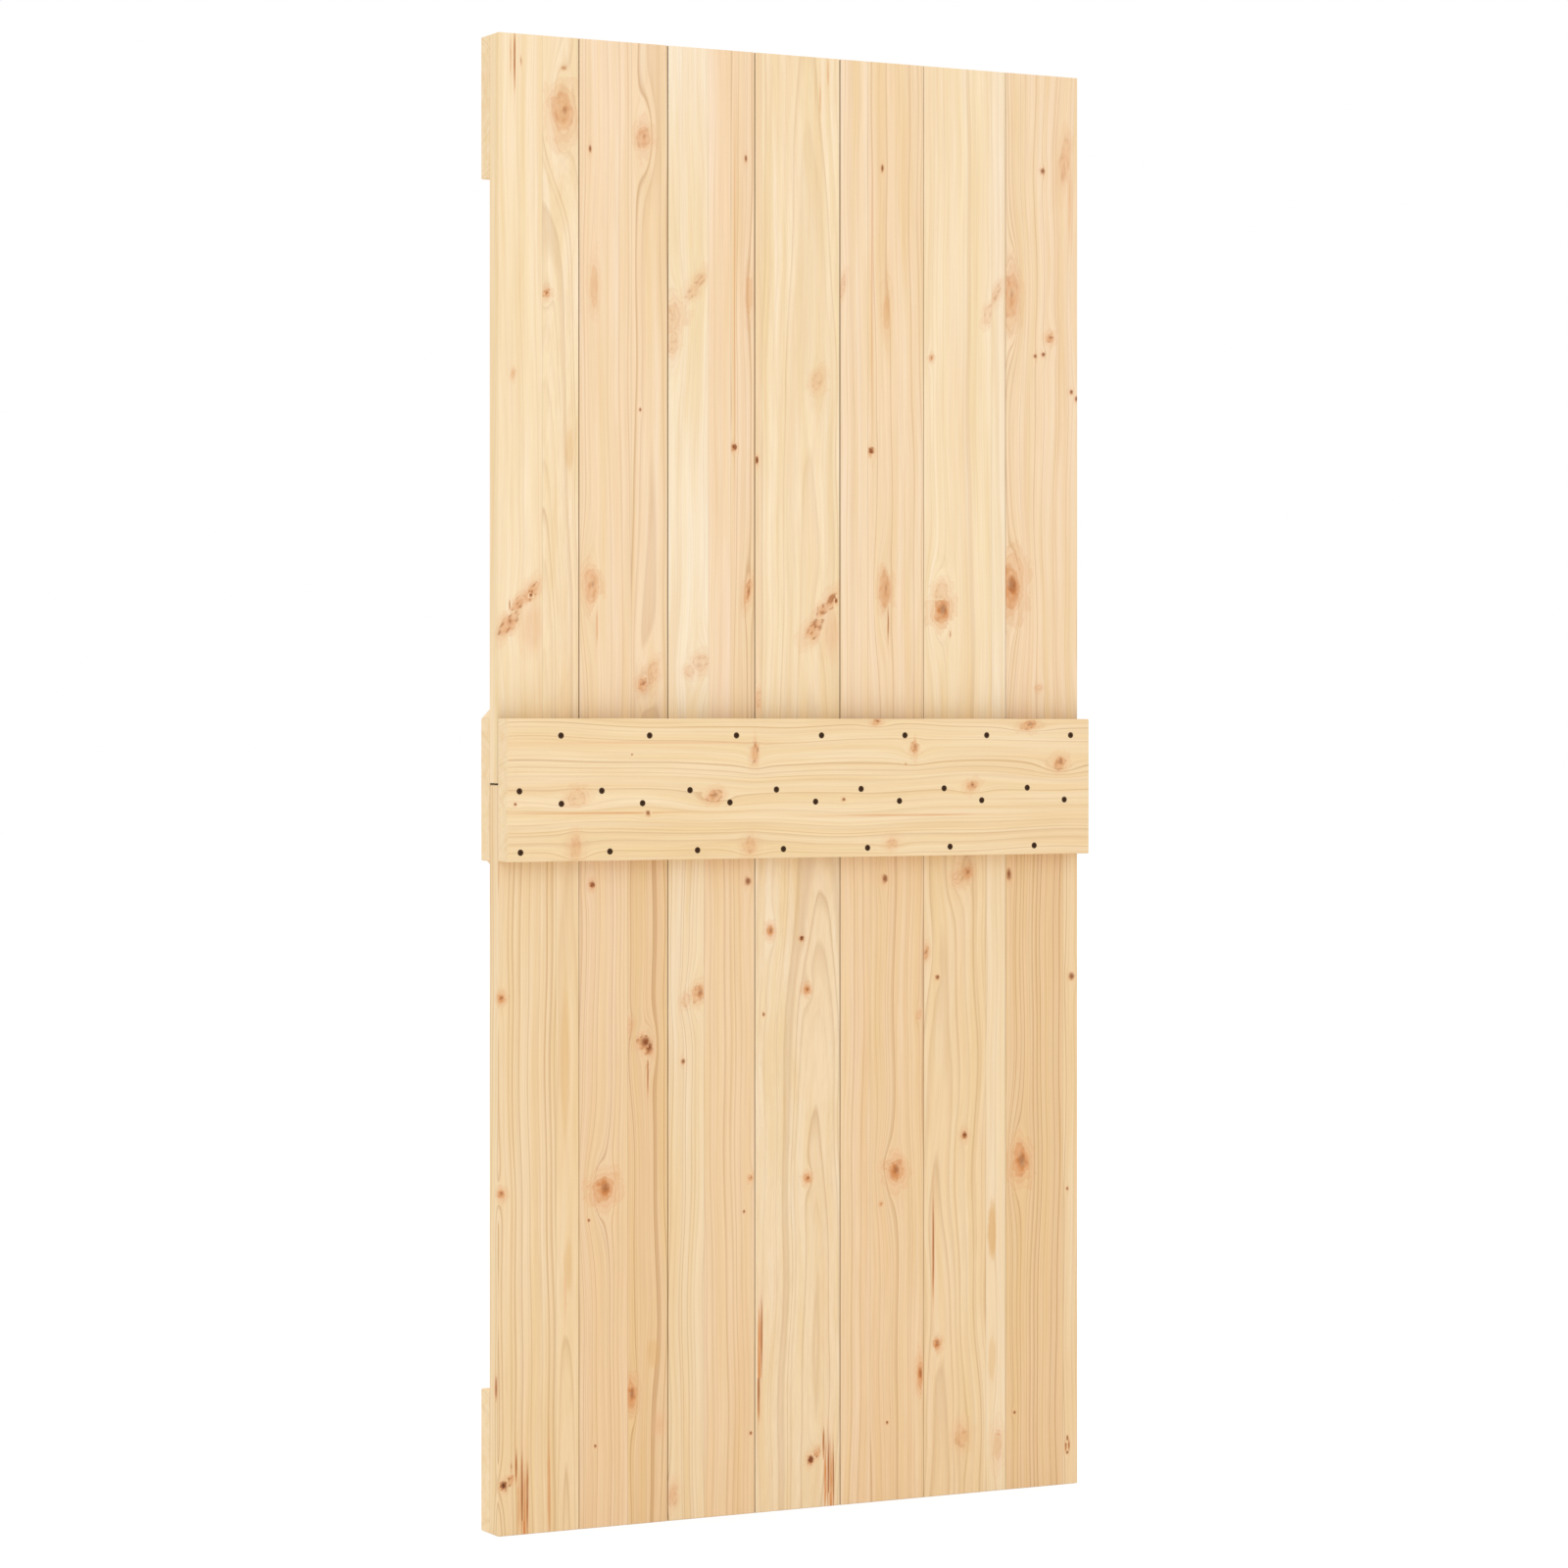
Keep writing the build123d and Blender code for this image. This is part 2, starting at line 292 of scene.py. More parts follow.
def share_setting(name, description, default, least=0.0, most=1.0):
    """A share or a strength without a unit."""
    return FloatProperty(name=name, description=description, default=default, min=least, max=most,
                         subtype="FACTOR")


def tone_share_setting(name, description, default):
    """How much of a tone's red, green and blue a part keeps: the lower boards' darker tint, or the painted
    shade of the door's side edges.
    """
    return FloatVectorProperty(name=name, description=description, default=default, min=0.5, max=1.0)


def power_setting(name, description, default):
    """Power of a lamp in watts."""
    return FloatProperty(name=name, description=description, default=default, min=0.0, unit="POWER")


class DoorSizes(bpy.types.PropertyGroup):
    cell_across: length_setting("Cell across", "Width of a mesh cell across the grain", 0.003, 0.002)
    cell_along: length_setting("Cell along", "Length of a mesh cell along the grain", 0.006, 0.003)
    arris: length_setting("Arris", "Rounding of the rails', braces' and ledge's outer edges", 0.0015, 0.0003)
    front_bevel: length_setting("Front bevel", "Bevel of the V joints on the door's front", 0.0025, 0.0005)
    end_bevel: length_setting("End bevel", "Eased edge round the sawn ends of a board", 0.0009, 0.0001)
    shoulder_gap: length_setting("Shoulder gap", "Gap between two boards' shoulders", 0.0004, 0.0)
    tongue_thickness: length_setting("Tongue thickness", "Thickness of a board's tongue", 0.008, 0.002)
    tongue_length: length_setting("Tongue length", "How far a tongue reaches past its board", 0.007, 0.002)
    screw_head: length_setting("Screw head", "Radius of a screw's head", 0.0047, 0.002)
    screw_shank: length_setting("Screw shank", "Radius of a screw's shank", 0.0024, 0.001)
    screw_sink: length_setting("Screw sink", "How deep a screw's head lies in the ledge's face", 0.0004, 0.0)


class PineLook(bpy.types.PropertyGroup):
    cream: colour_setting("Cream", "Palest sapwood staves", "#fdebcd")
    straw: colour_setting("Straw", "Yellow staves", "#fce6c2")
    peach: colour_setting("Peach", "Pink-toned staves", "#fbe1bf")
    tan: colour_setting("Tan", "Darkest staves of the upper boards", "#fadfbb")
    amber: colour_setting("Amber", "Ripest staves of the lower boards", "#f6d9b1")
    ledge: colour_setting("Ledge", "Tone of the ledge and the rails", "#fae1b8")
    latewood: colour_setting("Latewood", "Dark part of each year ring in a straw stave", "#cda373")
    sap: colour_setting("Sap", "Yellow resinous bands", "#ecc98b")
    halo: colour_setting("Halo", "Resinous wood round a knot", "#ecb98a")
    knot: colour_setting("Knot", "Wood of a knot", "#d98d4c")
    heart: colour_setting("Heart", "Middle of a knot and resin streaks", "#8a4a1c")
    # Painted shade of the open hole in the middle of a holed knot
    painted_hollow_shade: colour_setting("Hollow", "Open middle of a dead knot", "#482607")
    flame: colour_setting("Flame", "Yellow lens of slanting rings", "#dfb06e")
    # The lower boards are darker and warmer than the upper ones
    lower_tint: tone_share_setting("Lower batch", "What the lower boards keep of a tone", (0.95, 0.895, 0.81))
    # Painted shade: the door's side edges are darker and yellower than its faces
    side_painted_shade: tone_share_setting("Edge batch", "What the door's side edges keep of a tone", (0.975, 0.94, 0.87))
    # Painted shade: how much the corner on the back above the ledge is darkened
    ledge_painted_shade: share_setting("Ledge dust", "How much dust greys the corner above the ledge", 0.32, most=0.5)
    # Painted shade: what the wood down in the joints keeps of its tone
    joint_painted_shade: share_setting("Joint dust", "Tone of the wood down in the joints", 0.45, least=0.1)
    sap_contrast: share_setting("Sap contrast", "Strength of the yellow and pink bands", 0.4)
    ring_contrast: share_setting("Ring contrast", "Strength of the year rings", 0.62, most=2.0)
    fibre_contrast: share_setting("Fibre contrast", "Strength of the fine fibre lines", 0.085)
    roughness: share_setting("Roughness", "Roughness of the planed wood", 0.58)


class StageLook(bpy.types.PropertyGroup):
    lens: FloatProperty(name="Lens", description="Focal length on a 36 mm sensor", default=103.6, min=10.0,
                        unit="CAMERA")
    daylight: FloatProperty(name="Daylight", description="Strength of the even white light from all round",
                            default=0.98, min=0.0)
    key: power_setting("Key lamp", "Power of the large soft lamp before the door's back", 24.0)
    fill: power_setting("Fill lamp", "Power of the large soft lamp before the door's front", 24.0)
    shadow: share_setting("Floor shadow", "Share of the floor's look that takes shadow", 0.25)


def node(tree, kind, links=(), out=0, stops=(), **settings):
    """Add a shader node with its settings, set or link its inputs by number or name, return one output."""
    made = tree.nodes.new("ShaderNode" + kind)
    for key, value in settings.items():
        setattr(made, key, value)
    for place, (position, shade) in enumerate(stops):
        ramp = made.color_ramp.elements
        stop = ramp[place] if place < len(ramp) else ramp.new(position)
        stop.position, stop.color = position, (shade, shade, shade, 1)
    for place, value in links.items() if isinstance(links, dict) else enumerate(links):
        if isinstance(value, bpy.types.NodeSocket):
            tree.links.new(value, made.inputs[place])
        else:
            made.inputs[place].default_value = value
    return made.outputs[out]


def empty_material(name):
    """A new material with an empty node tree and an output."""
    material = bpy.data.materials.new(name)
    material.use_nodes = True
    material.node_tree.nodes.clear()
    return material, material.node_tree, material.node_tree.nodes.new("ShaderNodeOutputMaterial")


def grain_bands(tree, grain, seed, wide, long, detail=2.0, roughness=0.5):
    """Noise drawn out along the grain, in bands of a width and a length in millimetres."""
    place = node(tree, "VectorMath", [grain, (1 / wide, 1 / wide, 1 / long), seed], operation="MULTIPLY_ADD")
    return node(tree, "TexNoise", {"Vector": place, "Scale": 1.0, "Detail": detail, "Roughness": roughness})


def year_rings(tree, grain, spacing, strength, seed):
    """Share of latewood: distance from the pith over the ring spacing counts the years.

    The distance wavers by up to 4.5 mm over 40 mm across and 600 mm along, and slow seasons make the spacing
    uneven. Each year darkens slowly, ends sharply and has a darkness of its own, most of them faint."""
    flat = node(tree, "VectorMath", [grain, (1, 1, 0)], operation="MULTIPLY")
    radius = node(tree, "VectorMath", [flat], operation="LENGTH", out="Value")
    waver = grain_bands(tree, grain, seed, 40, 600)
    radius = node(tree, "Math", [waver, 4.5, radius], operation="MULTIPLY_ADD")
    turns = node(tree, "Math", [radius, spacing], operation="DIVIDE")
    seasons = node(tree, "Math", [turns, 0.45, seed], operation="MULTIPLY_ADD")
    seasons = node(tree, "TexNoise", {"W": seasons, "Scale": 1.0, "Detail": 1.0}, noise_dimensions="1D")
    turns = node(tree, "Math", [seasons, 2.2, turns], operation="MULTIPLY_ADD")
    year = node(tree, "Math", [turns], operation="FLOOR")
    year = node(tree, "Math", [year, seed], operation="ADD")
    dark_year = node(tree, "TexWhiteNoise", {"W": year}, noise_dimensions="1D")
    dark_year = node(tree, "Math", [dark_year, 1.6], operation="POWER")
    dark_year = node(tree, "MapRange", [dark_year, 0.0, 1.0, 0.12, 1.15])
    latewood = node(tree, "ValToRGB", [node(tree, "Math", [turns], operation="FRACT")],
                    stops=[(0.0, 0.12), (0.45, 0.08), (0.74, 0.6), (0.88, 1.0), (1.0, 0.12)])
    latewood = node(tree, "Math", [latewood, dark_year], operation="MULTIPLY")
    return node(tree, "Math", [latewood, strength], operation="MULTIPLY")


def knot_parts(tree, knot_at, heart_size):
    """How far a point lies in a knot's halo, body, rim and rings, heart, dark marks and flame, from 0 to 1.

    Each fades out with the distance from the knot's middle in half sizes, made uneven by noise; the heart
    lies off the middle, and body and marks are blotched by a second noise."""
    noises, reaches = [], []
    for fine, detail, roughness in ((0.9, 3.0, 0.6), (1.9, 2.0, 0.5)):
        place = node(tree, "VectorMath", [knot_at, (fine, fine, 1)], operation="MULTIPLY")
        noise = {"Vector": place, "Scale": 1.0, "Detail": detail, "Roughness": roughness}
        noises.append(node(tree, "TexNoise", noise))
    uneven, blotch = noises
    for to_middle, least, most in (((0, 0, 0), 0.76, 1.28), ((-0.14, -0.12, 0), 0.85, 1.18)):
        reach = node(tree, "VectorMath", [knot_at, (1, 1, 0), to_middle], operation="MULTIPLY_ADD")
        reach = node(tree, "VectorMath", [reach], operation="LENGTH", out="Value")
        spread = node(tree, "MapRange", [uneven, 0.3, 0.7, least, most])
        reaches.append(node(tree, "Math", [reach, spread], operation="MULTIPLY"))
    reach, from_heart = reaches
    from_heart = node(tree, "Math", [from_heart, heart_size], operation="DIVIDE")
    halo, body, heart, flame = (
        node(tree, "MapRange", [distance, start, end, 1.0, 0.0], interpolation_type="SMOOTHSTEP")
        for distance, start, end in ((reach, 0.7, 2.5), (reach, 0.4, 1.25), (from_heart, 0.2, 1.3),
                                     (reach, 0.6, 1.2)))
    blotched = node(tree, "MapRange", [blotch, 0.3, 0.7, 0.45, 1.3])
    body = node(tree, "Math", [body, blotched], operation="MULTIPLY")
    rim = node(tree, "ValToRGB", [node(tree, "Math", [reach, 0.4], operation="MULTIPLY")],
               stops=[(0.0, 0.0), (0.19, 0.0), (0.24, 0.5), (0.29, 0.05), (0.38, 1.0), (0.45, 0.1),
                      (0.55, 0.55), (0.62, 0.0), (0.76, 0.35), (0.84, 0.0)])
    marks = node(tree, "MapRange", [blotch, 0.53, 0.64, 0.0, 1.0], interpolation_type="SMOOTHSTEP")
    in_reach = node(tree, "MapRange", [reach, 0.9, 1.25, 1.0, 0.0])
    marks = node(tree, "Math", [marks, in_reach], operation="MULTIPLY")
    return halo, body, rim, heart, marks, flame


def planed_pine(name, grain_axis):
    """Planed pine without a coat, along an axis: pale, with amber latewood, brown knots and a silky face.

    The face corners carry what the tree gave the wood, and painted shade in the tone. grain is the place from
    the pith across and in depth and the place along, in millimetres; stave is ring spacing, ring strength and
    a seed; tone is the stave's colour times the lower boards' tint and the painted shade of the joints, the
    seam, the corner above the ledge and the door's side edges; knot is the place from the nearest knot in its
    half sizes and the knot's seed; knot_body is the shares of its body, halo and rim, knot_heart the share and
    size of its heart and the share of the marks in it, and knot_flame the share of its yellow."""
    look = bpy.context.scene.pine_look
    material, tree, output = empty_material(name)
    grain, knot_at = (node(tree, "Attribute", attribute_name=key, out="Vector") for key in ("grain", "knot"))
    tone = node(tree, "Attribute", attribute_name="tone", out="Color")
    yellow = node(tree, "Attribute", attribute_name="knot_flame", out="Fac")
    (spacing, strength, seed), (body, halo, rings), (heart, heart_size, marked) = (
        node(tree, "SeparateXYZ", [node(tree, "Attribute", attribute_name=key, out="Vector")]).node.outputs
        for key in ("stave", "knot_body", "knot_heart"))
    latewood = year_rings(tree, grain, spacing, strength, seed)

    # Fibres: streaks about 1 mm wide and 150 mm long, with finer ones in them
    fibres = grain_bands(tree, grain, seed, 2.2, 150, 3.0, 0.65)
    # Hues: bands about 11 mm wide and 400 mm long, from a deeper yellow to pale cream
    hues = grain_bands(tree, grain, seed, 11, 400, 3.0, 0.6)
    yellower, paler = (0.985, 0.955, 0.88), (1.01, 1.025, 1.07)
    hues = node(tree, "MapRange", {6: hues, 7: (0.32, 0.32, 0.32), 8: (0.68, 0.68, 0.68), 9: yellower,
                                   10: paler}, data_type="FLOAT_VECTOR", out=1)
    # Sap: soft yellow bands about 16 mm wide and half a metre long, and wider pink ones
    sap = grain_bands(tree, grain, seed, 16, 500)
    blush = grain_bands(tree, grain, seed, 45, 700)

    # Knots: how far a point lies in each part, times the share that the knot has of it
    in_halo, in_body, in_rim, in_heart, in_marks, in_flame = knot_parts(tree, knot_at, heart_size)
    halo_share, knot_share, rim_share, heart_share, flame_share = (
        node(tree, "Math", [inside, share], operation="MULTIPLY")
        for inside, share in ((in_halo, halo), (in_body, body), (in_rim, rings), (in_heart, heart),
                              (in_flame, yellow)))
    heart_share = node(tree, "Math", [in_marks, marked, heart_share], operation="MULTIPLY_ADD")
    # Painted shade: an open hollow in a knot's heart is coloured dark
    painted_hollow_share = node(tree, "MapRange", [heart_share, 1.35, 1.9, 0.0, 1.0])

    # End grain: on faces across the fibres the rings show less and the wood is a shade darker
    normal = node(tree, "TexCoord", out="Normal")
    sawn = node(tree, "VectorMath", [normal, grain_axis], operation="DOT_PRODUCT", out="Value")
    sawn = node(tree, "MapRange", [node(tree, "Math", [sawn], operation="ABSOLUTE"), 0.6, 0.9, 0.0, 1.0])
    contrast = node(tree, "MapRange", [sawn, 0.0, 1.0, look.ring_contrast, look.ring_contrast * 0.4])

    # Colours, laid one over the other on the stave's tone; latewood and fibres take that tone too
    darker = tuple(late / early for late, early in zip(look.latewood, look.straw))
    late = node(tree, "VectorMath", [tone, darker], operation="MULTIPLY")
    shade = node(tree, "VectorMath", [tone, hues], operation="MULTIPLY")
    layers = (
        (node(tree, "MapRange", [sap, 0.42, 0.68, 0.0, look.sap_contrast]), look.sap),
        (node(tree, "MapRange", [blush, 0.48, 0.70, 0.0, look.sap_contrast * 0.35]), look.halo),
        (node(tree, "Math", [latewood, contrast], operation="MULTIPLY"), late),
        (node(tree, "MapRange", [fibres, 0.42, 0.80, 0.0, look.fibre_contrast * 2.4]), late),
        (flame_share, look.flame),
        (node(tree, "Math", [halo_share, 0.62], operation="MULTIPLY"), look.halo),
        (knot_share, look.knot),
        (node(tree, "Math", [rim_share, 0.55], operation="MULTIPLY"), look.knot),
        (heart_share, look.heart),
        (painted_hollow_share, look.painted_hollow_shade),
        (node(tree, "Math", [sawn, 0.02], operation="MULTIPLY"), late),
    )
    for share, over in layers:
        over = over if over is late else (*over, 1)
        shade = node(tree, "Mix", {0: share, 6: shade, 7: over}, data_type="RGBA", out=2)

    # Planing leaves the latewood lines and the knots a little proud and smoother
    height = node(tree, "Math", [latewood, 0.6, fibres], operation="MULTIPLY_ADD")
    height = node(tree, "Math", [knot_share, 0.8, height], operation="MULTIPLY_ADD")
    bump = node(tree, "Bump", {"Height": height, "Strength": 0.35, "Distance": 0.00015})
    rough = node(tree, "MapRange", [knot_share, 0.0, 1.0, look.roughness, look.roughness - 0.14])
    rough = node(tree, "Math", [fibres, 0.10, rough], operation="MULTIPLY_ADD")
    surface = node(tree, "BsdfPrincipled", {"Base Color": shade, "Roughness": rough, "Normal": bump,
                                            "IOR": 1.5, "Specular IOR Level": 0.35})
    tree.links.new(surface, output.inputs["Surface"])
    return material


def screw_steel():
    """Phosphated steel screws: near-black brown, dull, with a faint oily sheen in the cross recess."""
    material, tree, output = empty_material("phosphated_steel")
    place = node(tree, "TexCoord", out="Object")
    # Crystals of the coat, 0.6 mm patches, coarser than real so that they show
    patches = node(tree, "TexNoise", {"Vector": place, "Scale": 1600.0, "Detail": 2.0})
    shade = node(tree, "Mix", {0: patches, 6: (*linear("#34200f"), 1), 7: (*linear("#5a3c20"), 1)},
                 data_type="RGBA", out=2)
    rough = node(tree, "MapRange", [patches, 0.3, 0.7, 0.42, 0.6])
    bump = node(tree, "Bump", {"Height": patches, "Strength": 0.3, "Distance": 0.00005})
    surface = node(tree, "BsdfPrincipled", {"Base Color": shade, "Metallic": 0.6, "Roughness": rough,
                                            "Normal": bump})
    tree.links.new(surface, output.inputs["Surface"])
    return material


def seen_directly(tree):
    """1 for camera, glossy and transmission rays, which see plain white, and 0 for rays that only light."""
    rays = node(tree, "LightPath").node.outputs
    mirrored = node(tree, "Math", [rays["Is Glossy Ray"], rays["Is Transmission Ray"]], operation="ADD")
    return node(tree, "Math", [rays["Is Camera Ray"], mirrored], operation="ADD", use_clamp=True)


def paper_floor():
    """Matt white paper floor: it looks white to the camera and keeps a soft part of the door's shadow."""
    look = bpy.context.scene.stage_look
    material, tree, output = empty_material("paper_floor")
    place = node(tree, "TexCoord", out="Object")
    grainy = node(tree, "TexNoise", {"Vector": place, "Scale": 3.0, "Detail": 2.0})
    white = node(tree, "MapRange", [grainy, 0.3, 0.7, 0.86, 0.90])
    paper = node(tree, "BsdfDiffuse", {"Color": white})
    glow = node(tree, "Emission", {"Color": (1, 1, 1, 1), "Strength": 1.12})
    seen = node(tree, "MixShader", [1 - look.shadow, paper, glow])
    mixed = node(tree, "MixShader", [seen_directly(tree), paper, seen])
    tree.links.new(mixed, output.inputs["Surface"])
    return material


def spaced(stops, step):
    """Numbers through every stop, with even steps of about the given size from each stop to the next."""
    runs = [np.linspace(a, b, max(2, int(round((b - a) / step)) + 1)) for a, b in zip(stops, stops[1:])]
    return np.unique(np.concatenate(runs))


def mesh_of(name, points, quads, others=()):
    """A mesh object at the origin from an array of points, an array of quads and a list of other faces."""
    mesh = bpy.data.meshes.new(name)
    mesh.from_pydata(points.tolist(), [], quads.tolist() + [list(face) for face in others])
    mesh.validate()
    piece = bpy.data.objects.new(name, mesh)
    bpy.context.scene.collection.objects.link(piece)
    return piece


def grid_quads(rows, columns):
    """Quads of a grid of points, row by row: point i, j, then i+1, j, then i+1, j+1, then i, j+1."""
    number = np.arange(rows * columns).reshape(rows, columns)
    corners = (number[:-1, :-1], number[1:, :-1], number[1:, 1:], number[:-1, 1:])
    return np.stack(corners, axis=-1).reshape(-1, 4)


def loop_quads(rows, columns):
    """Quads between neighbouring rows of closed loops: point j, j+1 of row i, then j+1, j of row i+1."""
    number = np.arange(rows * columns).reshape(rows, columns)
    after = np.roll(number, -1, axis=1)
    return np.stack([number[:-1], after[:-1], after[1:], number[1:]], axis=-1).reshape(-1, 4)


def inset(loop, distance):
    """The loop moved inwards: each point goes along the mitre of its two sides' normals by the distance."""
    side = np.roll(loop, -1, axis=0) - loop
    side /= np.linalg.norm(side, axis=1, keepdims=True)
    normal = np.stack([side[:, 1], -side[:, 0]], axis=1)
    before = np.roll(normal, 1, axis=0)
    mitre = (normal + before) / (1 + np.sum(normal * before, axis=1, keepdims=True))
    return loop - mitre * distance


def board_section(left, right, back, front, bevels, groove, tongue, glue_lines):
    """Closed loop round a board's section in plan, counter-clockwise from above.

    Back face from left to right, right edge with its tongue, front face from right to left, left edge with
    its groove. Returns the loop, how many points lie on each face and where the front's begin; every glue
    line has a point on it and one to each side."""
    sizes = bpy.context.scene.door_sizes
    middle, thick = (front + back) / 2, sizes.tongue_thickness / 2
    length = sizes.tongue_length + sizes.shoulder_gap / 2
    back_left, back_right, front_left, front_right = bevels
    marks = [line + side for line in glue_lines for side in (-GLUE_STRIP, 0.0, GLUE_STRIP)]
    face = spaced([left + GRID_FROM_GROOVE] + marks + [right - GRID_FROM_TONGUE], sizes.cell_across)
    edge = spaced([back + MM, front - MM], sizes.cell_across * 1.6)
    right_side = [(right - back_right, back), (right, back + back_right)]
    left_side = [(left + front_left, front), (left, front - front_left)]
    if tongue:
        right_side += [(right, middle - thick), (right + length - TONGUE_TIP, middle - thick),
                       (right + length, middle - thick + TONGUE_TIP),
                       (right + length, middle + thick - TONGUE_TIP),
                       (right + length - TONGUE_TIP, middle + thick), (right, middle + thick)]
    else:
        right_side += [(right, y) for y in edge]
    if groove:
        depth, wide = length + GROOVE_SPARE, thick + TONGUE_PLAY
        left_side += [(left, middle + wide), (left + depth, middle + wide), (left + depth, middle - wide),
                      (left, middle - wide)]
    else:
        left_side += [(left, y) for y in edge[::-1]]
    right_side += [(right, front - front_right), (right - front_right, front)]
    left_side += [(left, back + back_left), (left + back_left, back)]
    back_face = np.stack([face, np.full_like(face, back)], axis=1)
    front_face = np.stack([face[::-1], np.full_like(face, front)], axis=1)
    loop = np.concatenate([back_face, right_side, front_face, left_side])
    return loop, len(face), len(face) + len(right_side)


def board(name, section, face_count, front_start):
    """A board: its section carried up from its foot to its head, with both end loops drawn in by the bevel.

    The ends are closed by quads between the points of the back and front faces, and a face at each edge."""
    sizes = bpy.context.scene.door_sizes
    low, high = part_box(name)
    bevel = sizes.end_bevel
    stops = [low[2] + bevel, low[2] + 1.5 * bevel, high[2] - 1.5 * bevel, high[2] - bevel]
    end_loop = inset(section, bevel)
    rows = [(z, section) for z in spaced(stops, sizes.cell_along)]
    rows = [(low[2], end_loop)] + rows + [(high[2], end_loop)]
    levels = np.array([z for z, _ in rows])
    plan = np.stack([loop for _, loop in rows])
    points = np.concatenate([plan, np.broadcast_to(levels[:, None, None], plan.shape[:2] + (1,))], axis=2)
    count = len(section)
    back = np.arange(face_count)
    front = front_start + np.arange(face_count)[::-1]
    columns = np.stack([back[:-1], back[1:], front[1:], front[:-1]], axis=1)
    right_end = [face_count - 1] + list(range(face_count, front_start + 1))
    left_end = list(range(front_start + face_count - 1, count)) + [0]
    head = (len(levels) - 1) * count
    quads = np.concatenate([loop_quads(len(levels), count), columns + head, columns[:, ::-1]])
    ends = [[k + head for k in right_end], [k + head for k in left_end], right_end[::-1], left_end[::-1]]
    return mesh_of("dressed_" + name, points.reshape(-1, 3), quads, ends)


def gridded_box(xs, ys, zs):
    """Surface of a box: on each side one coordinate is fixed and the other two run over their grids."""
    grids, points, quads, start = (xs, ys, zs), [], [], 0
    for axis in range(3):
        first, second = (axis + 1) % 3, (axis + 2) % 3
        a, b = np.meshgrid(grids[first], grids[second], indexing="ij")
        square = grid_quads(*a.shape)
        for end, order in ((-1, slice(None)), (0, slice(None, None, -1))):
            side = np.empty((a.size, 3))
            side[:, axis], side[:, first], side[:, second] = grids[axis][end], a.ravel(), b.ravel()
            points.append(side)
            quads.append(square[:, order] + start)
            start += a.size
    merged, places = np.unique(np.concatenate(points), axis=0, return_inverse=True)
    return merged, places.ravel()[np.concatenate(quads)]


def eased_bar(low, high, outer, step):
    """A bar whose outer face has round edges, and its grid of quads.

    Each point of a gridded box is split into its nearest point of the box that is smaller by the arris, and
    the rest. The rest is shortened by its largest coordinate over its length, which turns a square edge into
    a round one; the grid's lines there end up at 0, 22.5 and 45 degrees of the rounding."""
    radius = bpy.context.scene.door_sizes.arris
    grids = []
    for axis in range(3):
        band = [0.0, radius * (1 - math.tan(math.pi / 8)), radius]
        start = [low[axis] + b for b in band] if axis != 1 or outer < 0 else [low[axis]]
        end = [high[axis] - b for b in band[::-1]] if axis != 1 or outer > 0 else [high[axis]]
        grids.append(np.unique(np.concatenate([start, spaced([start[-1], end[0]], step[axis]), end])))
    points, quads = gridded_box(*grids)
    small_low = np.array(low) + [radius, radius if outer < 0 else 0, radius]
    small_high = np.array(high) - [radius, radius if outer > 0 else 0, radius]
    kernel = np.clip(points, small_low, small_high)
    rest = points - kernel
    length = np.linalg.norm(rest, axis=1, keepdims=True)
    return kernel + rest * np.abs(rest).max(axis=1, keepdims=True) / np.where(length == 0, 1, length), quads


def near_knots(places, kinds, home, faces, corners):
    """Nearest knot of each face, and how far the grain is drawn aside and the rings swell at each corner.

    faces and corners are stave, place along, place across and depth. Nearest is the knot in the face's own
    stave whose edge is nearest, and a dark-hearted knot lies over a larger one. A knot moves across by
    KNOT_SLANT of the depth. Round it the grain is drawn aside by its distance across over the square of its
    reach, fading out over a few knot sizes, and the rings swell by a bell curve of the reach."""
    face_stave, face_along, face_across, face_depth = faces
    stave, along, across, depth = corners
    drawn, swell = np.zeros_like(along), np.zeros_like(along)
    best, nearest = np.full(len(face_stave), np.inf), np.zeros(len(face_stave), int)
    for k, (knot_across, knot_along, half_width, half_length) in enumerate(places):
        flow, rise, lean = kinds[k, 6:9]
        up = face_along - knot_along
        reach = np.hypot(face_across - KNOT_SLANT * face_depth - knot_across - lean * up,
                         up / half_length * half_width) / half_width
        lead = DARK_LEAD * (kinds[k, 3] > DARK_HEART) * (reach < DARK_REACH)
        edge = np.where(face_stave == home[k], (reach - 1) * half_width - lead, OTHER_STAVE + reach)
        best, nearest = np.where(edge < best, edge, best), np.where(edge < best, k, nearest)
        aside = across - KNOT_SLANT * depth - knot_across
        reach = np.hypot(aside / half_width, (along - knot_along) / half_length / 2.2)
        fade = np.minimum(1, 1 / np.maximum(reach, 0.05) ** 2) * np.exp(-(reach / 4.5) ** 2)
        drawn += np.where(stave == home[k], flow * aside * fade, 0)
        swell += np.where(stave == home[k], rise * half_width * np.exp(-(reach / 1.7) ** 2), 0)
    return nearest, drawn, swell


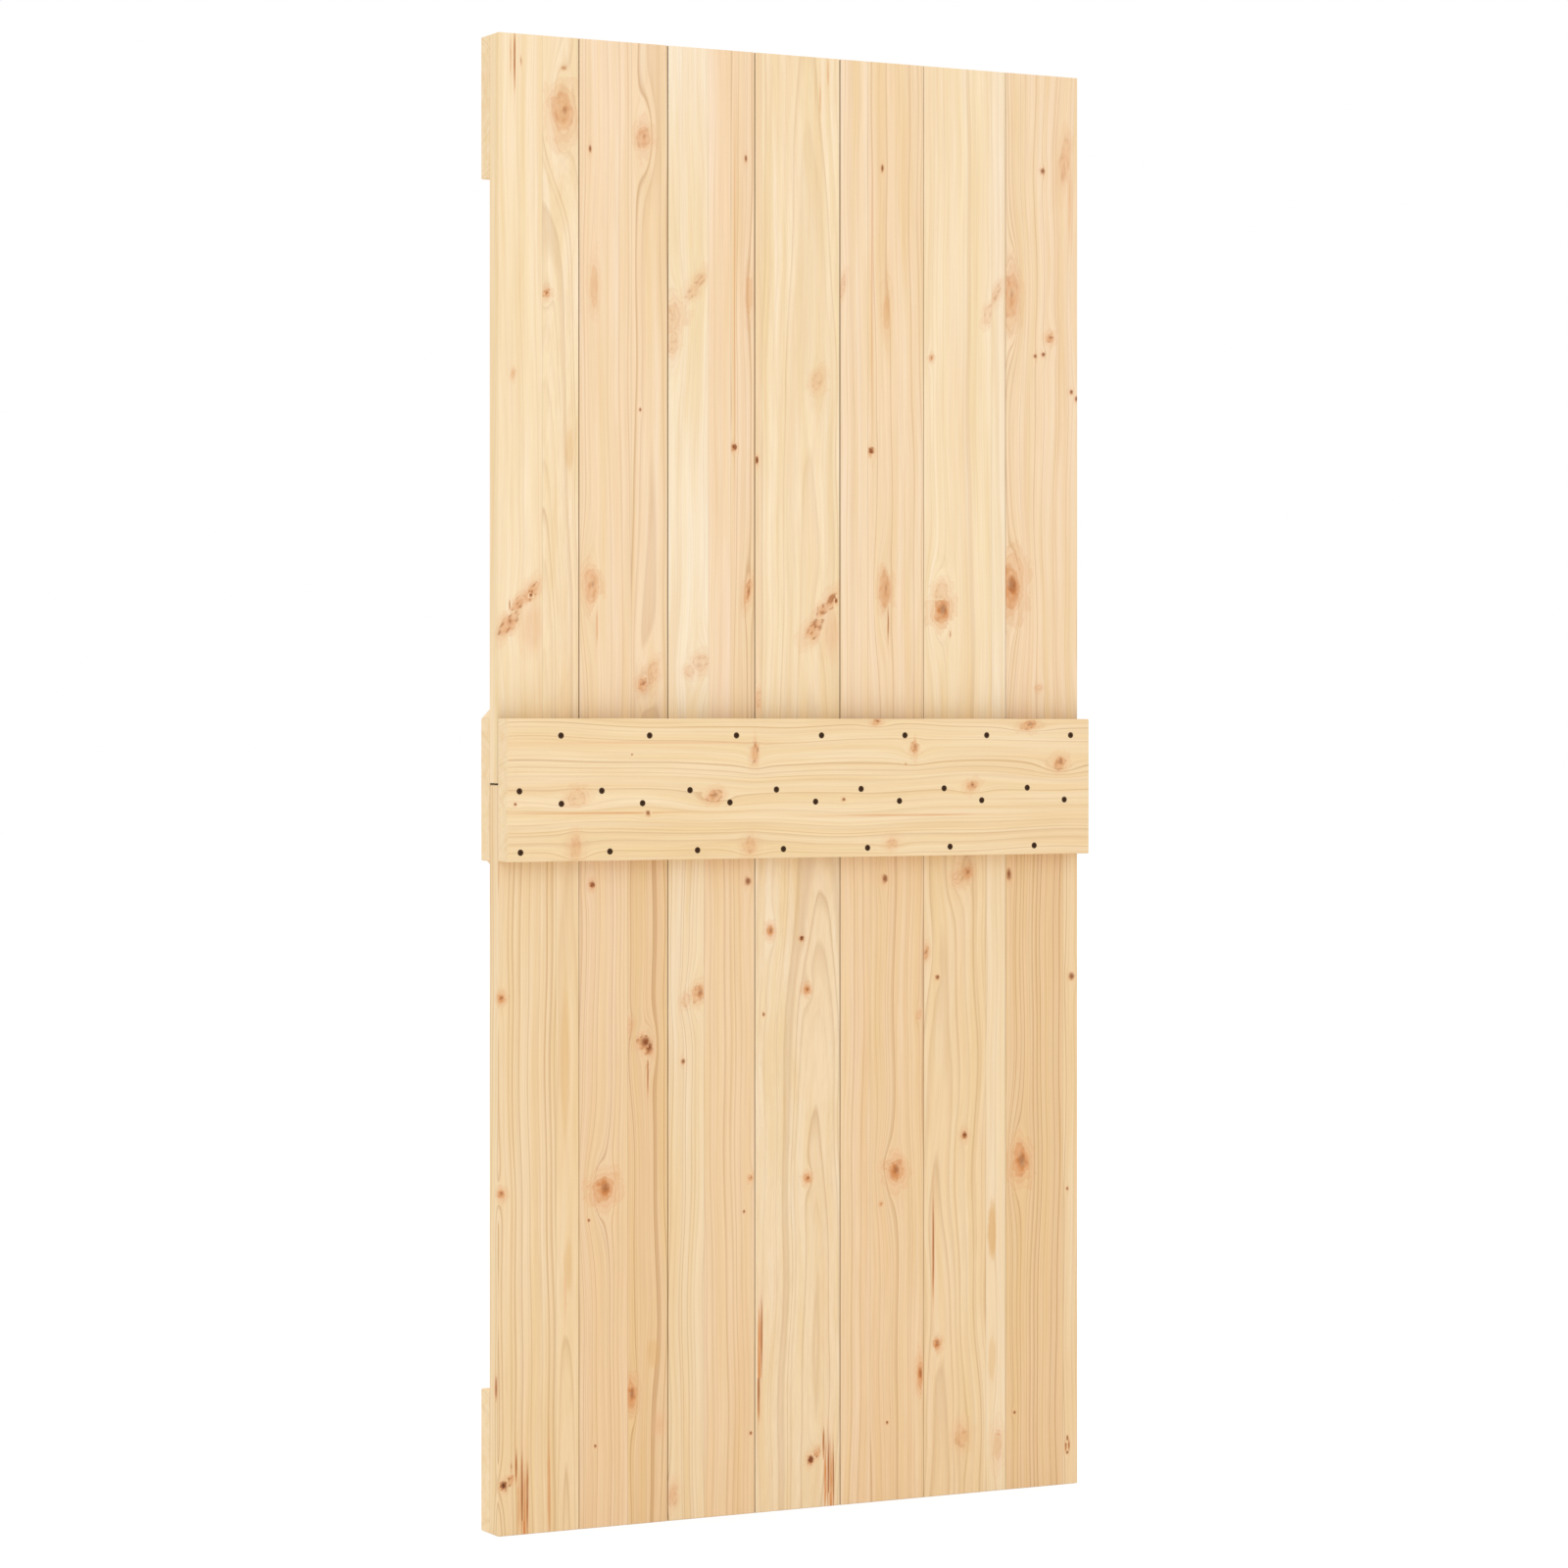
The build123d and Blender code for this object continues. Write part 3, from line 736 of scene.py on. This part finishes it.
def dress(piece, name, along, across, depth, slot, shade=FULL_TONE):
    """Give a piece what its pine reads at each corner of each face, its slot and its body.

    along, across and depth are each point's place in the piece's own directions, in millimetres, and shade
    multiplies its tone. A face's stave and knot are those of its middle. The pith wanders by a few
    millimetres in long sine waves and leans, and the grain waves to the sides in two shorter ones. A knot's
    colours lean with it, and each stave's seed comes from the piece's name."""
    look, mesh = bpy.context.scene.pine_look, piece.data
    corner = np.empty(len(mesh.loops), np.int32)
    sides = np.empty(len(mesh.polygons), np.int32)
    mesh.loops.foreach_get("vertex_index", corner)
    mesh.polygons.foreach_get("loop_total", sides)
    face = np.repeat(np.arange(len(sides)), sides)
    middle = [np.bincount(face, v[corner]) / sides for v in (along, across, depth)]
    along, across, depth = along[corner], across[corner], depth[corner]

    staves = STAVES[name]
    ends = np.array([stave[0] for stave in staves], float)
    face_stave = np.clip(np.searchsorted(ends, middle[1]), 0, len(staves) - 1)
    mine = face_stave[face]
    seed = np.array([(sum(map(ord, name)) * 7 + 31 * k) % 97 for k in range(len(staves))], float)[mine]
    pith_across, pith_depth, lean, spacing, strength, waves = (
        np.array([stave[k] for stave in staves], float)[mine] for k in range(2, 8))

    knots = KNOTS.get(name) or scattered_knots(name, along, across)
    kinds = np.array([KNOT_KINDS[knot[0]] for knot in knots])
    places = np.array([knot[1:] for knot in knots], float)
    home = np.clip(np.searchsorted(ends, places[:, 0]), 0, len(staves) - 1)
    nearest, drawn, swell = near_knots(places, kinds, home, (face_stave, *middle),
                                       (mine, along, across, depth))
    own = nearest[face]
    kind, same = kinds[own], mine == home[own]
    knot_across, knot_along, half_width, half_length = places[own].T

    wave = 0.4 * np.sin(along / 96 + across / 60 + 3 * seed)
    wave += 0.2 * np.sin(along / 41 - across / 35 + 5 * seed)
    x = across - drawn - pith_across - 4 * np.sin(along / 390 + seed) - waves * wave
    y = depth + pith_depth + 5 * np.sin(along / 520 + 2 * seed) + lean * (along - along.mean()) / 1000
    grown = 1 + swell / np.maximum(np.hypot(x, y), 1)
    up = along - knot_along
    aside = across - KNOT_SLANT * depth - knot_across - kind[:, 8] * up
    tones = np.array([tuple(getattr(look, stave[1])) for stave in staves])[mine]
    # tone is the stave's colour times shade, which carries the boards' painted shade of joints, seam, ledge
    # corner and side edges
    values = {
        "grain": (x * grown, y * grown, along),
        "stave": (spacing, strength, seed),
        "tone": (tones * np.broadcast_to(shade, (len(mesh.vertices), 3))[corner]).T,
        "knot": (aside / half_width, up / half_length, own * 1.7 + seed),
        "knot_body": kind[:, :3].T * same,
        "knot_heart": (kind[:, 3] * same, kind[:, 4], kind[:, 5] * same),
        "knot_flame": [kind[:, 9] * same] * 3,
    }
    for key, value in values.items():
        layer = mesh.attributes.new(key, "FLOAT_VECTOR", "CORNER")
        layer.data.foreach_set("vector", np.stack(tuple(value), axis=1).astype(np.float32).ravel())
    mesh.materials.clear()
    mesh.materials.append(pine(slot))
    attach(piece, "root")
    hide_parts(name)


def scattered_knots(name, along, across):
    """Knots for a piece that the photo doesn't show, one to about 130 mm, seeded by the piece's name."""
    chance = np.random.default_rng(sum(map(ord, name)))
    kinds = ("sound", "pin", "faint", "eye", "sound", "pin")
    places = np.arange(along.min() + 60, along.max() - 40, 130.0)
    left, right = across.min() + 15, across.max() - 15
    return [(kinds[int(chance.integers(len(kinds)))], float(chance.uniform(left, right)),
             float(place + chance.uniform(-45, 45)), float(size), float(size * chance.uniform(1.0, 1.5)))
            for place, size in zip(places, chance.uniform(2.5, 8.0, len(places)))]


def points_of(piece):
    """All points of a piece's mesh as an array."""
    flat = np.empty(len(piece.data.vertices) * 3)
    piece.data.vertices.foreach_get("co", flat)
    return flat.reshape(-1, 3)


def pine(slot):
    """The planed pine of a slot, made once: upright grain for the boards, level grain for the others."""
    name = "planed_" + slot
    axis = (0, 0, 1) if slot == "pine_boards" else (1, 0, 0)
    return bpy.data.materials.get(name) or planed_pine(name, axis)


def board_shade(at, half, low, high, shoulders, glue_lines):
    """Share of its tone's red, green and blue that each point of a board keeps.

    Darker are the seam's edge, the eased ends and the insides of the joints beyond the shoulders, which is
    painted shade, and the glue lines, the first of them where several meet. Painted shade in the corner on the
    back above the ledge thins out by e to the power of its height over LEDGE_SHADE_HEIGHT. The lower boards
    are darker and warmer, and the door's side edges carry painted shade of their own."""
    sizes, look = bpy.context.scene.door_sizes, bpy.context.scene.pine_look
    x, y, z = at.T
    from_seam = z - low[2] if half == "upper" else high[2] - z
    from_face = np.minimum(y - low[1], high[1] - y)
    beyond = (x < shoulders[0] + IN_JOINT) | (x > shoulders[1] - IN_JOINT)
    glued = np.min([np.abs(x - line) for line in glue_lines] + [np.ones(len(at))], axis=0) < ON_LINE
    eased = from_seam < sizes.end_bevel + ON_LINE
    # Painted shade down in the seam, on its eased ends and inside the joints; the glue lines are the wood's
    # own
    places = [from_seam < IN_JOINT, eased, (from_face > IN_JOINT) & beyond, glued]
    kept = [look.joint_painted_shade * SEAM_SHARE, look.joint_painted_shade * EASED_SHARE, look.joint_painted_shade, GLUE_TONE]
    shade = np.select(places, kept, 1.0)
    # Painted shade in the corner on the back above the ledge, thinning out upwards
    if half == "upper":
        above = np.maximum(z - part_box("back_ledge")[1][2], 0) / LEDGE_SHADE_HEIGHT
        shade *= 1 - look.ledge_painted_shade * np.exp(-above) * (y < low[1] + MM)
    # Painted shade on the door's side edges; the lower boards are darker and warmer
    outer = np.minimum(x - cad_box[0][0], cad_box[1][0] - x) < ON_LINE
    tint_and_side_shade = np.where(outer[:, None], look.side_painted_shade, look.lower_tint if half == "lower" else FULL_TONE)
    return shade[:, None] * tint_and_side_shade


def build_board(half, number):
    """One board of a half, counted from the left, with its own joints' gaps and bevels."""
    sizes = bpy.context.scene.door_sizes
    name = f"{half}_board_{number}"
    low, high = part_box(name)
    groove, tongue = number > 1, number < BOARD_COUNT
    edge = low[0] - (sizes.shoulder_gap / 2 if groove else 0)
    tip = high[0] - (sizes.tongue_length if tongue else 0)
    gaps, eased = (np.array(table[half][number - 1:number + 1]) * MM for table in (GAPS_MM, BACK_BEVELS_MM))
    left, right = edge + gaps[0] / 2, tip - gaps[1] / 2
    bevels = (*eased, sizes.front_bevel if groove else eased[0], sizes.front_bevel if tongue else eased[1])
    glue_lines = [edge + stave[0] * MM for stave in STAVES[name][:-1]]
    section = board_section(left, right, low[1], high[1], bevels, groove, tongue, glue_lines)
    piece = board(name, *section)
    at = points_of(piece)
    shoulders = (left if groove else -np.inf, right if tongue else np.inf)
    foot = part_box("lower_board_1")[0][2]
    dress(piece, name, (at[:, 2] - foot) / MM, (at[:, 0] - edge) / MM, (at[:, 1] - low[1]) / MM,
          "pine_boards", board_shade(at, half, low, high, shoulders, glue_lines))


class DOOR_OT_boards(bpy.types.Operator):
    """Build the tongued and grooved boards of both halves"""
    bl_idname = "door.boards"
    bl_label = "Boards"

    def execute(self, context):
        for half in HALVES:
            for number in range(1, BOARD_COUNT + 1):
                build_board(half, number)
        return {"FINISHED"}


class DOOR_OT_rails(bpy.types.Operator):
    """Build the three level rails on the front"""
    bl_idname = "door.rails"
    bl_label = "Rails"

    def execute(self, context):
        sizes = context.scene.door_sizes
        for name in RAILS:
            low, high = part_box(name)
            points, quads = eased_bar(low, high, 1, (sizes.cell_along, CELL_DEEP, sizes.cell_across * 1.3))
            dress(mesh_of("dressed_" + name, points, quads), name, (points[:, 0] - low[0]) / MM,
                  (points[:, 2] - low[2]) / MM, (high[1] - points[:, 1]) / MM, "pine_rails")
        return {"FINISHED"}


class DOOR_OT_braces(bpy.types.Operator):
    """Build the two slanting braces on the front"""
    bl_idname = "door.braces"
    bl_label = "Braces"

    def execute(self, context):
        sizes = context.scene.door_sizes
        for name, side in (("upper_brace", 1), ("lower_brace", -1)):
            low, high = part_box(name)
            width, height = high[0] - low[0], high[2] - low[2]
            slope = brace_slope(width, height)
            foot = width - height / math.tan(slope)
            points, quads = eased_bar((0, low[1], 0), (foot, high[1], height), 1,
                                      (sizes.cell_across * 1.6, CELL_DEEP, sizes.cell_along))
            # Upright bar leaned over: each point moves sideways by its height over the tangent of the slope
            points[:, 0] += points[:, 2] / math.tan(slope)
            if side < 0:
                points[:, 0] = width - points[:, 0]
                quads = quads[:, ::-1]
            points += (low[0], 0, low[2])
            # Grain runs up the slope from the brace's foot, and across is square to it
            run = np.array([side * math.cos(slope), math.sin(slope)])
            flat = points[:, [0, 2]] - ((low[0] if side > 0 else high[0]), low[2])
            across = (flat @ np.array([-run[1], run[0]]) * side) / MM
            dress(mesh_of("dressed_" + name, points, quads), name, flat @ run / MM, across - across.min(),
                  (high[1] - points[:, 1]) / MM, "pine_rails")
        return {"FINISHED"}


def brace_slope(width, height, brace_width=0.140):
    """Slope of a brace with level ends that reaches from corner to corner of a rectangle."""
    return math.atan2(height, width) + math.asin(brace_width / math.hypot(width, height))


def screw_places():
    """Place along the door and height of each of the ledge's screws, in metres, by SCREW_ROWS_MM."""
    low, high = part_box("back_ledge")
    middle = (low[2] + high[2]) / 2
    gap = bpy.context.scene.door_sizes.shoulder_gap / 2
    edges = [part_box(f"upper_board_{k}")[0][0] - gap for k in range(2, BOARD_COUNT)]
    places = []
    for height, first, on_board, creep, last in SCREW_ROWS_MM:
        row = [low[0] + first * MM] + [edge + (on_board - creep * k) * MM for k, edge in enumerate(edges)]
        places += [(x, middle + height * MM) for x in row + [high[0] - last * MM]]
    return np.array(places)


def turned(name, places, profile, recess=None, segments=36):
    """Turned solids at several places: a profile of radius and depth, swept round an axis along Y.

    Depths count from the ledge's face. Both ends of the profile are closed by a pole, recess gives a further
    depth at each point, and each solid is turned by an angle of its own."""
    radius, depth = np.array(profile).T
    angle = np.linspace(0, 2 * np.pi, segments, endpoint=False)
    x, z = radius[:, None] * np.cos(angle), -radius[:, None] * np.sin(angle)
    y, centre = np.broadcast_to(depth[:, None], x.shape), depth[0]
    if recess:
        y, centre = y + recess(x, z), centre + recess(0.0, 0.0)
    ring = np.stack([x, y, z], axis=-1).reshape(-1, 3)
    solid = np.concatenate([ring, [(0, centre, 0), (0, depth[-1], 0)]])
    count = len(solid)
    first, after = np.arange(segments), (np.arange(segments) + 1) % segments
    last = (len(profile) - 1) * segments
    caps = np.concatenate([np.stack([np.full(segments, count - 2), after, first], axis=1),
                           np.stack([first + last, after + last, np.full(segments, count - 1)], axis=1)])
    spin = np.random.default_rng(28).uniform(0, np.pi / 2, len(places))
    cos, sin = np.cos(spin)[:, None], np.sin(spin)[:, None]
    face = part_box("back_ledge")[0][1]
    points = np.stack([places[:, :1] + cos * solid[:, 0] - sin * solid[:, 2],
                       np.broadcast_to(face + solid[:, 1], (len(places), count)),
                       places[:, 1:] + sin * solid[:, 0] + cos * solid[:, 2]], axis=-1).reshape(-1, 3)
    shift = (np.arange(len(places)) * count)[:, None, None]
    quads = loop_quads(len(profile), segments) + shift
    return mesh_of(name, points, quads.reshape(-1, 4), (caps + shift).reshape(-1, 3).tolist())


class DOOR_OT_ledge(bpy.types.Operator):
    """Build the ledge on the back, with a countersunk hole for each screw"""
    bl_idname = "door.ledge"
    bl_label = "Ledge"

    def execute(self, context):
        sizes = context.scene.door_sizes
        name = "back_ledge"
        low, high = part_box(name)
        points, quads = eased_bar(low, high, -1, (sizes.cell_along, CELL_DEEP, sizes.cell_across * 1.15))
        piece = mesh_of("dressed_" + name, points, quads)
        # Countersink just wider than the head, and a hole just wider than the shank that goes right through
        rim, shank, beyond = sizes.screw_head + 0.2 * MM, sizes.screw_shank + 0.1 * MM, 1 * MM
        cutter = turned("cutter", screw_places(), [(rim + beyond, -beyond), (rim, 0.0), (shank, rim - shank),
                                                   (shank, high[1] - low[1] + beyond)], segments=24)
        cut = piece.modifiers.new("holes", "BOOLEAN")
        cut.operation, cut.solver, cut.object = "DIFFERENCE", "EXACT", cutter
        whole = bpy.data.meshes.new_from_object(piece.evaluated_get(context.evaluated_depsgraph_get()))
        piece.modifiers.clear()
        piece.data = whole
        bpy.data.objects.remove(cutter)
        if len(whole.vertices) < len(points):
            raise RuntimeError("the ledge lost its grid when its holes were cut")
        at = points_of(piece)
        dress(piece, name, (at[:, 0] - low[0]) / MM, (at[:, 2] - low[2]) / MM, (at[:, 1] - low[1]) / MM,
              "pine_ledge")
        return {"FINISHED"}


def cross_recess(x, z):
    """Depth of a cross recess: two arms 1.5 mm wide and 5 mm long, 1.3 mm deep, with walls that slope."""
    arms = []
    for off, along in ((x, z), (z, x)):
        in_width = np.clip((0.75 * MM - np.abs(off)) / (0.3 * MM), 0, 1)
        arms.append(in_width * np.clip((2.5 * MM - np.abs(along)) / (0.5 * MM), 0, 1))
    return 1.3 * MM * np.maximum(*arms)


class DOOR_OT_screws(bpy.types.Operator):
    """Build the ledge's countersunk screws"""
    bl_idname = "door.screws"
    bl_label = "Screws"

    def execute(self, context):
        sizes = context.scene.door_sizes
        head, shank, sink = sizes.screw_head, sizes.screw_shank, sizes.screw_sink
        low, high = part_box("back_ledge")
        # The face has a ring each 0.3 mm for the recess, then a small rim, the cone and the shank
        face = [(0.3 * MM * ring, sink) for ring in range(1, 10)]
        profile = face + [(head - 0.4 * MM, sink), (head, sink + 0.12 * MM),
                          (head - 0.15 * MM, sink + 0.4 * MM), (shank, sink + head - shank + 0.2 * MM),
                          (shank, high[1] - low[1] - 0.5 * MM)]
        piece = turned("ledge_screws", screw_places(), profile, cross_recess)
        piece.data.materials.append(screw_steel())
        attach(piece, "root")
        return {"FINISHED"}


def build_floor(low):
    """Paper floor: a flat grid just below the door."""
    grid = np.linspace(-FLOOR_HALF_WIDTH, FLOOR_HALF_WIDTH, 9)
    x, y = np.meshgrid(grid, grid, indexing="ij")
    points = np.stack([x.ravel(), y.ravel(), np.full(x.size, low - FLOOR_GAP)], axis=1)
    floor = mesh_of("floor", points, grid_quads(*x.shape))
    floor.data.materials.append(paper_floor())


def hang_lamp(name, power):
    """A large round soft lamp that points at the middle of the door."""
    lamp = bpy.data.lights.new(name, "AREA")
    lamp.energy, lamp.shape, lamp.size = power, "DISK", LAMP_WIDTH
    holder = bpy.data.objects.new(name, lamp)
    aim = np.array(LAMP_AIM) - LAMP_PLACES[name]
    holder.location = LAMP_PLACES[name]
    holder.rotation_euler = (math.atan2(math.hypot(aim[0], aim[1]), -aim[2]), 0,
                             math.atan2(aim[1], aim[0]) - math.pi / 2)
    bpy.context.scene.collection.objects.link(holder)


def white_room(daylight):
    """Even white light from all round, and plain white where the room is seen directly."""
    world = bpy.data.worlds.new("studio")
    bpy.context.scene.world = world
    world.use_nodes = True
    tree = world.node_tree
    tree.nodes.clear()
    strength = node(tree, "MapRange", [seen_directly(tree), 0.0, 1.0, daylight, 1.0])
    air = node(tree, "Background", {"Color": (1, 1, 1, 1), "Strength": strength})
    output = tree.nodes.new("ShaderNodeOutputWorld")
    tree.links.new(air, output.inputs["Surface"])


def photo_camera(lens):
    """Level camera where the photo's stood, fitted to the door's edges in it."""
    view = bpy.data.cameras.new("photo_view")
    view.sensor_width, view.lens, view.shift_y = SENSOR_MM, lens, CAMERA_SHIFT
    view.clip_start, view.clip_end = 0.1, 200
    camera = bpy.data.objects.new("photo_view", view)
    camera.location = CAMERA_PLACE
    camera.rotation_euler = (math.pi / 2, 0, -math.atan2(*CAMERA_HEADING))
    bpy.context.scene.collection.objects.link(camera)
    return camera


class DOOR_OT_stage(bpy.types.Operator):
    """Build the floor, the light and the camera"""
    bl_idname = "door.stage"
    bl_label = "Stage"

    def execute(self, context):
        scene, look = context.scene, context.scene.stage_look
        build_floor(cad_box[0][2])
        hang_lamp("key", look.key)
        hang_lamp("fill", look.fill)
        white_room(look.daylight)
        scene.camera = photo_camera(look.lens)
        scene.view_settings.view_transform = "Standard"
        return {"FINISHED"}


class DOOR_PT_panel(bpy.types.Panel):
    """Sidebar panel with the door's sizes, colours and pieces"""
    bl_idname = "DOOR_PT_panel"
    bl_label = "Plank sliding door"
    bl_space_type = "VIEW_3D"
    bl_region_type = "UI"
    bl_category = "Door"

    def draw(self, context):
        for group in (context.scene.door_sizes, context.scene.pine_look, context.scene.stage_look):
            box = self.layout.box()
            for key in group.__annotations__:
                box.prop(group, key)
        for operator in OPERATORS:
            self.layout.operator(operator.bl_idname)


OPERATORS = (DOOR_OT_boards, DOOR_OT_rails, DOOR_OT_braces, DOOR_OT_ledge, DOOR_OT_screws, DOOR_OT_stage)
GROUPS = {"door_sizes": DoorSizes, "pine_look": PineLook, "stage_look": StageLook}


def register():
    for key, group in GROUPS.items():
        bpy.utils.register_class(group)
        setattr(bpy.types.Scene, key, PointerProperty(type=group))
    for kind in OPERATORS + (DOOR_PT_panel,):
        bpy.utils.register_class(kind)


def unregister():
    for kind in (DOOR_PT_panel,) + OPERATORS[::-1]:
        bpy.utils.unregister_class(kind)
    for key, group in GROUPS.items():
        delattr(bpy.types.Scene, key)
        bpy.utils.unregister_class(group)


def main():
    register()
    bpy.ops.door.boards()
    bpy.ops.door.rails()
    bpy.ops.door.braces()
    bpy.ops.door.ledge()
    bpy.ops.door.screws()
    bpy.ops.door.stage()


if __name__ == "__main__":
    main()
